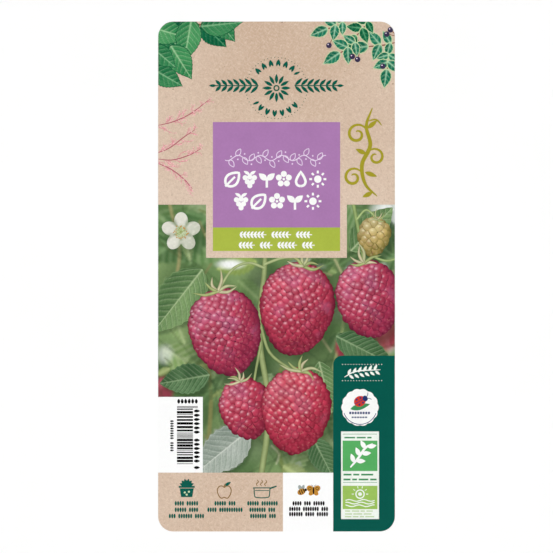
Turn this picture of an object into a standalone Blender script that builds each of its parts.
"""Retail plant label: a die-cut plastic sheet whose printed fields are thin films.

Units are metres and +Z is up. The label lies face up. Its origin is the centre of its
underside, +X points to the right of the printed face and +Y to its top edge.
"""
from math import cos, pi, radians, sin

import bpy

MM = 0.001

# Sheet, and the films that are printed on it in levels
LABEL_WIDTH = 97.5 * MM
LABEL_HEIGHT = 210.0 * MM
CORNER_RADIUS = 6.25 * MM
SHEET_THICKNESS = 0.40 * MM
FILM_THICKNESS = 0.05 * MM
ARC_STEPS = 10
LOBE_STEPS = 10

# Header field with its tongue, and the title panel on it
HEADER_HEIGHT = 75.4 * MM
TITLE_WIDTH = 52.4 * MM
TITLE_DROP = 41.4 * MM
TITLE_HEIGHT = 43.4 * MM
STRIP_HEIGHT = 9.7 * MM
TONGUE_MARGIN = 2.8 * MM

# Emblem above the title panel
EMBLEM_RADIUS = 9.6 * MM
EMBLEM_LOBES = 12
EMBLEM_LOBE_DEPTH = 0.16
EMBLEM_DROP = 27.4 * MM

# Care strip along the foot, and the bar-code panel, which is bare sheet
CARE_HEIGHT = 24.2 * MM
CARE_WIDTH = 51.4 * MM
BARCODE_WIDTH = 18.4 * MM
BARCODE_HEIGHT = 31.2 * MM

# Side tab with its badge and its certificate card
TAB_WIDTH = 25.4 * MM
TAB_HEIGHT = 72.4 * MM
TAB_CORNER_RADIUS = 3.7 * MM
CARD_WIDTH = 15.6 * MM
CARD_HEIGHT = 36.1 * MM
CARD_FOOT = 5.1 * MM
CARD_CENTRE_X = 34.4 * MM
TILE_WIDTH = 14.3 * MM
UPPER_TILE_HEIGHT = 12.5 * MM
UPPER_TILE_DROP = 3.8 * MM
LOWER_TILE_HEIGHT = 9.6 * MM
LOWER_TILE_DROP = 22.4 * MM
BADGE_RADIUS = 7.7 * MM
BADGE_LOBES = 14
BADGE_LOBE_DEPTH = 0.05
BADGE_CENTRE = (34.4 * MM, -53.9 * MM)

# Edges worked out from the sizes above
RIGHT = LABEL_WIDTH / 2
LEFT = -RIGHT
TOP = LABEL_HEIGHT / 2
FOOT = -TOP
HEADER_FOOT = TOP - HEADER_HEIGHT
TITLE_TOP = TOP - TITLE_DROP
TITLE_FOOT = TITLE_TOP - TITLE_HEIGHT
STRIP_FOOT = TITLE_FOOT - STRIP_HEIGHT
TONGUE_RIGHT = TITLE_WIDTH / 2 + TONGUE_MARGIN
TONGUE_FOOT = STRIP_FOOT - TONGUE_MARGIN
CARE_TOP = FOOT + CARE_HEIGHT
BARCODE_RIGHT = LEFT + BARCODE_WIDTH
BARCODE_TOP = CARE_TOP + BARCODE_HEIGHT
TAB_LEFT = RIGHT - TAB_WIDTH
TAB_TOP = FOOT + TAB_HEIGHT
CARD_TOP = FOOT + CARD_FOOT + CARD_HEIGHT
EMBLEM_CENTRE = (0.0, TOP - EMBLEM_DROP)

# Print levels, from the fields on the sheet up to the picture's nearest motifs
FIELD_LEVEL = 1
PANEL_LEVEL = 2
TILE_LEVEL = 3
LEAF_LEVEL = 2
FAR_LEVEL = 3
NEAR_LEVEL = 4

# Rectangles of the picture that a motif may fill: left, right, foot, top
WINDOWS = {
    "whole": (LEFT, RIGHT, CARE_TOP, HEADER_FOOT),
    "upper": (LEFT, RIGHT, TAB_TOP, HEADER_FOOT),
    "left": (LEFT, TAB_LEFT, BARCODE_TOP, HEADER_FOOT),
    "lower": (BARCODE_RIGHT, TAB_LEFT, CARE_TOP, HEADER_FOOT),
}

# Fruit: centre x and y, width, length, tilt in degrees, print level, window
DRUPELET_WIDTH = 3.0 * MM
DRUPELET_BULGE = 0.55 * MM
DRUPELET_STEPS = 4
BERRY_TAPER = 0.15
BERRIES = {
    "berry_centre": (8.3 * MM, -13.6 * MM, 30.0 * MM, 38.0 * MM, -8.0, NEAR_LEVEL, "whole"),
    "berry_left": (-21.0 * MM, -23.0 * MM, 29.0 * MM, 36.0 * MM, 11.0, FAR_LEVEL, "whole"),
    "berry_right": (38.0 * MM, -9.5 * MM, 26.0 * MM, 32.0 * MM, 8.0, FAR_LEVEL, "upper"),
    "berry_foot": (8.0 * MM, -55.5 * MM, 28.0 * MM, 35.0 * MM, -6.0, NEAR_LEVEL, "lower"),
    "berry_low_left": (-12.5 * MM, -54.5 * MM, 21.0 * MM, 25.0 * MM, 14.0, FAR_LEVEL, "lower"),
    "berry_unripe": (40.0 * MM, 16.5 * MM, 13.0 * MM, 16.0 * MM, -12.0, FAR_LEVEL, "upper"),
}

# Leaves: stalk end x and y, direction of the tip in degrees, length, width, window
LEAF_TEETH = 9
LEAF_TOOTH_DEPTH = 0.08
LEAF_TOOTH_POINT = 0.35
LEAF_TOOTH_NOTCH = 0.95
LEAF_SKEW = 0.8
LEAF_FULLNESS = 0.85
LEAVES = {
    "leaf_left": (-30.5 * MM, 3.0 * MM, 232.0, 33.0 * MM, 20.0 * MM, "left"),
    "leaf_low_left": (-27.5 * MM, -40.5 * MM, 190.0, 21.0 * MM, 13.0 * MM, "left"),
    "leaf_top_right": (30.5 * MM, 10.5 * MM, 46.0, 25.0 * MM, 14.0 * MM, "upper"),
    "leaf_right": (24.5 * MM, -24.5 * MM, 333.0, 27.0 * MM, 13.0 * MM, "upper"),
    "leaf_middle": (17.5 * MM, -35.0 * MM, 284.0, 22.0 * MM, 11.0 * MM, "lower"),
    "leaf_foot_left": (-11.0 * MM, -63.0 * MM, 219.0, 29.0 * MM, 17.5 * MM, "lower"),
    "leaf_foot_right": (15.0 * MM, -66.5 * MM, 297.0, 18.0 * MM, 11.0 * MM, "lower"),
}

# Blossom of five petals
BLOSSOM_CENTRE = (-39.3 * MM, 18.3 * MM)
BLOSSOM_RADIUS = 8.2 * MM
BLOSSOM_PETALS = 5
BLOSSOM_NOTCH = 0.42
BLOSSOM_TURN = 18.0

# Colours as sRGB, and roughness
FINISHES = {
    "white_sheet": ("#f6f5f2", 0.45),
    "kraft_print": ("#d0b8a0", 0.60),
    "picture_print": ("#7f9a6c", 0.40),
    "title_print": ("#ab7bb0", 0.42),
    "strip_print": ("#abba47", 0.42),
    "tab_print": ("#055549", 0.40),
    "emblem_print": ("#0d5a49", 0.45),
    "badge_print": ("#f4f4f4", 0.40),
    "card_print": ("#f1f6ee", 0.42),
    "upper_tile_print": ("#58ae63", 0.42),
    "lower_tile_print": ("#9cc25d", 0.42),
    "ripe_fruit_print": ("#b5304f", 0.38),
    "unripe_fruit_print": ("#b9a06a", 0.38),
    "leaf_print": ("#4f7f4a", 0.40),
    "blossom_print": ("#f2eee6", 0.42),
}


def clear_scene():
    """Removes every object, so that the script starts from nothing."""
    for item in list(bpy.data.objects):
        bpy.data.objects.remove(item, do_unlink=True)


def linear(channel):
    """One sRGB channel from 0 to 1, as linear light."""
    if channel <= 0.04045:
        return channel / 12.92
    return ((channel + 0.055) / 1.055) ** 2.4


def finish(name):
    """A printed or bare plastic finish from the table above."""
    material = bpy.data.materials.get(name)
    if material:
        return material
    code, roughness = FINISHES[name]
    channels = [int(code[place:place + 2], 16) / 255 for place in (1, 3, 5)]
    material = bpy.data.materials.new(name)
    material.use_nodes = True
    shader = material.node_tree.nodes["Principled BSDF"]
    shader.inputs["Base Color"].default_value = (*[linear(value) for value in channels], 1.0)
    shader.inputs["Roughness"].default_value = roughness
    shader.inputs["Metallic"].default_value = 0.0
    return material


def unit(start, end):
    """Direction from one corner to the next, on an outline of upright and level edges."""
    run = end[0] - start[0]
    rise = end[1] - start[1]
    length = abs(run) + abs(rise)
    return run / length, rise / length


def corner_arc(before, corner, after, radius):
    """Points of the quarter circle that rounds one right-angled corner."""
    to_before = unit(corner, before)
    to_after = unit(corner, after)
    centre_x = corner[0] + radius * (to_before[0] + to_after[0])
    centre_y = corner[1] + radius * (to_before[1] + to_after[1])
    points = []
    for step in range(ARC_STEPS + 1):
        turn = pi / 2 * step / ARC_STEPS
        x = centre_x - radius * (to_after[0] * cos(turn) + to_before[0] * sin(turn))
        y = centre_y - radius * (to_after[1] * cos(turn) + to_before[1] * sin(turn))
        points.append((x, y))
    return points


def right_angled(corners):
    """Outline of corners (x, y, radius), with each corner rounded by its radius."""
    outline = []
    for place, (x, y, radius) in enumerate(corners):
        if radius:
            after = corners[(place + 1) % len(corners)]
            outline += corner_arc(corners[place - 1], (x, y), after, radius)
        else:
            outline.append((x, y))
    return outline


def rectangle(left, right, foot, top):
    """Outline of a plain rectangle."""
    return [(left, foot), (right, foot), (right, top), (left, top)]


def lobed(radius, lobes, depth):
    """Outline of a round piece whose edge runs in and out in even lobes."""
    outline = []
    count = lobes * LOBE_STEPS
    for step in range(count):
        turn = 2 * pi * step / count
        reach = radius * (1 - depth * (1 - abs(cos(lobes * turn / 2))))
        outline.append((reach * cos(turn), reach * sin(turn)))
    return outline


def berry_outline(width, length):
    """Outline of a raspberry: an egg, broad at the stalk, edged by its drupelets."""
    around = pi * (width + length) / 2
    lobes = round(around / DRUPELET_WIDTH)
    count = lobes * DRUPELET_STEPS
    outline = []
    for step in range(count):
        turn = 2 * pi * step / count
        inset = DRUPELET_BULGE * (1 - abs(sin(pi * step / DRUPELET_STEPS)))
        reach_x = (width / 2 - inset) * (1 + BERRY_TAPER * sin(turn))
        reach_y = length / 2 - inset
        outline.append((reach_x * cos(turn), reach_y * sin(turn)))
    return outline


def leaf_side(length, width, side):
    """Points of one toothed edge of a leaf, from its stalk towards its tip along +X."""
    points = []
    for tooth in range(LEAF_TEETH):
        for part, reach in ((LEAF_TOOTH_POINT, 1.0), (LEAF_TOOTH_NOTCH, 1.0 - LEAF_TOOTH_DEPTH)):
            along = (tooth + part) / LEAF_TEETH
            half = width / 2 * reach * sin(pi * along ** LEAF_SKEW) ** LEAF_FULLNESS
            points.append((length * along, side * half))
    return points


def leaf_outline(length, width):
    """Outline of a toothed oval leaf with its stalk end at the origin."""
    near = leaf_side(length, width, -1)
    far = leaf_side(length, width, 1)
    return [(0.0, 0.0)] + near + [(length, 0.0)] + far[::-1]


def placed(outline, x, y, turn):
    """The outline turned by an angle in degrees and moved to its place on the label."""
    across = cos(radians(turn))
    along = sin(radians(turn))
    return [(x + u * across - v * along, y + u * along + v * across) for u, v in outline]


def cut(outline, axis, limit, side):
    """The outline's stretch on one side of a level or upright line, closed along that line."""
    kept = []
    for place, point in enumerate(outline):
        before = outline[place - 1]
        inside = side * (point[axis] - limit) >= 0
        if inside != (side * (before[axis] - limit) >= 0):
            share = (limit - before[axis]) / (point[axis] - before[axis])
            kept.append(tuple(a + share * (b - a) for a, b in zip(before, point)))
        if inside:
            kept.append(point)
    return kept


def cropped(outline, window):
    """The outline cut off at the edges of one window of the picture."""
    left, right, foot, top = WINDOWS[window]
    for axis, limit, side in ((0, left, 1), (0, right, -1), (1, foot, 1), (1, top, -1)):
        outline = cut(outline, axis, limit, side)
    return outline


def flat_piece(name, outline, low, thickness, material_name):
    """One flat piece of the outline, with its underside at the height low."""
    curve = bpy.data.curves.new(name, "CURVE")
    curve.dimensions = "2D"
    curve.fill_mode = "BOTH"
    curve.extrude = thickness / 2
    spline = curve.splines.new("POLY")
    spline.points.add(len(outline) - 1)
    for point, (x, y) in zip(spline.points, outline):
        point.co = (x, y, 0.0, 1.0)
    spline.use_cyclic_u = True
    curve.materials.append(finish(material_name))
    piece = bpy.data.objects.new(name, curve)
    piece.location.z = low + thickness / 2
    label.objects.link(piece)


def film(name, outline, level, material_name):
    """One printed film; level 1 lies on the sheet, and each higher level on the one below."""
    low = SHEET_THICKNESS + (level - 1) * FILM_THICKNESS
    flat_piece(name, outline, low, FILM_THICKNESS, material_name)


def make_sheet():
    """White core of the label, with four rounded corners."""
    outline = right_angled([
        (LEFT, FOOT, CORNER_RADIUS),
        (RIGHT, FOOT, CORNER_RADIUS),
        (RIGHT, TOP, CORNER_RADIUS),
        (LEFT, TOP, CORNER_RADIUS),
    ])
    flat_piece("sheet", outline, 0.0, SHEET_THICKNESS, "white_sheet")


def make_header():
    """Kraft-coloured header, whose tongue frames the title panel and its strip."""
    film("header_field", right_angled([
        (-TONGUE_RIGHT, TONGUE_FOOT, 0),
        (TONGUE_RIGHT, TONGUE_FOOT, 0),
        (TONGUE_RIGHT, HEADER_FOOT, 0),
        (RIGHT, HEADER_FOOT, 0),
        (RIGHT, TOP, CORNER_RADIUS),
        (LEFT, TOP, CORNER_RADIUS),
        (LEFT, HEADER_FOOT, 0),
        (-TONGUE_RIGHT, HEADER_FOOT, 0),
    ]), FIELD_LEVEL, "kraft_print")
    half = TITLE_WIDTH / 2
    film("title_panel", rectangle(-half, half, TITLE_FOOT, TITLE_TOP), PANEL_LEVEL, "title_print")
    film("title_strip", rectangle(-half, half, STRIP_FOOT, TITLE_FOOT), PANEL_LEVEL, "strip_print")
    emblem = placed(lobed(EMBLEM_RADIUS, EMBLEM_LOBES, EMBLEM_LOBE_DEPTH), *EMBLEM_CENTRE, 0.0)
    film("header_emblem", emblem, PANEL_LEVEL, "emblem_print")


def make_picture():
    """Picture field, cut round the tongue, the side tab and the bar-code panel."""
    film("picture_field", right_angled([
        (BARCODE_RIGHT, CARE_TOP, 0),
        (TAB_LEFT, CARE_TOP, 0),
        (TAB_LEFT, TAB_TOP, TAB_CORNER_RADIUS),
        (RIGHT, TAB_TOP, 0),
        (RIGHT, HEADER_FOOT, 0),
        (TONGUE_RIGHT, HEADER_FOOT, 0),
        (TONGUE_RIGHT, TONGUE_FOOT, 0),
        (-TONGUE_RIGHT, TONGUE_FOOT, 0),
        (-TONGUE_RIGHT, HEADER_FOOT, 0),
        (LEFT, HEADER_FOOT, 0),
        (LEFT, BARCODE_TOP, 0),
        (BARCODE_RIGHT, BARCODE_TOP, 0),
    ]), FIELD_LEVEL, "picture_print")


def make_fruit():
    """Printed raspberries, the nearer ones on the higher print level."""
    for name, (x, y, width, length, tilt, level, window) in BERRIES.items():
        ripeness = "unripe_fruit_print" if name == "berry_unripe" else "ripe_fruit_print"
        outline = placed(berry_outline(width, length), x, y, tilt)
        film(name, cropped(outline, window), level, ripeness)


def make_leaves():
    """Printed leaves, which lie behind the fruit."""
    for name, (x, y, direction, length, width, window) in LEAVES.items():
        outline = placed(leaf_outline(length, width), x, y, direction)
        film(name, cropped(outline, window), LEAF_LEVEL, "leaf_print")


def make_blossom():
    """Printed blossom of five petals."""
    outline = lobed(BLOSSOM_RADIUS, BLOSSOM_PETALS, BLOSSOM_NOTCH)
    outline = placed(outline, *BLOSSOM_CENTRE, BLOSSOM_TURN)
    film("blossom", outline, LEAF_LEVEL, "blossom_print")


def on_card(width, drop, height):
    """Rectangle centred on the card's width, measured down from the card's top edge."""
    top = CARD_TOP - drop
    return rectangle(CARD_CENTRE_X - width / 2, CARD_CENTRE_X + width / 2, top - height, top)


def make_side_tab():
    """Dark tab at the right, with a lobed badge and a card that holds two tiles."""
    film("side_tab", right_angled([
        (TAB_LEFT, FOOT, 0),
        (RIGHT, FOOT, CORNER_RADIUS),
        (RIGHT, TAB_TOP, 0),
        (TAB_LEFT, TAB_TOP, TAB_CORNER_RADIUS),
    ]), FIELD_LEVEL, "tab_print")
    badge = placed(lobed(BADGE_RADIUS, BADGE_LOBES, BADGE_LOBE_DEPTH), *BADGE_CENTRE, 0.0)
    film("badge", badge, PANEL_LEVEL, "badge_print")
    film("card", on_card(CARD_WIDTH, 0.0, CARD_HEIGHT), PANEL_LEVEL, "card_print")
    upper_tile = on_card(TILE_WIDTH, UPPER_TILE_DROP, UPPER_TILE_HEIGHT)
    film("upper_tile", upper_tile, TILE_LEVEL, "upper_tile_print")
    lower_tile = on_card(TILE_WIDTH, LOWER_TILE_DROP, LOWER_TILE_HEIGHT)
    film("lower_tile", lower_tile, TILE_LEVEL, "lower_tile_print")


def make_care_strip():
    """Kraft-coloured strip along the foot, which ends before the bare pollinator panel."""
    film("care_strip", right_angled([
        (LEFT, FOOT, CORNER_RADIUS),
        (LEFT + CARE_WIDTH, FOOT, 0),
        (LEFT + CARE_WIDTH, CARE_TOP, 0),
        (LEFT, CARE_TOP, 0),
    ]), FIELD_LEVEL, "kraft_print")


clear_scene()
label = bpy.data.collections.new("plant_label")
bpy.context.scene.collection.children.link(label)
make_sheet()
make_header()
make_picture()
make_leaves()
make_fruit()
make_blossom()
make_side_tab()
make_care_strip()
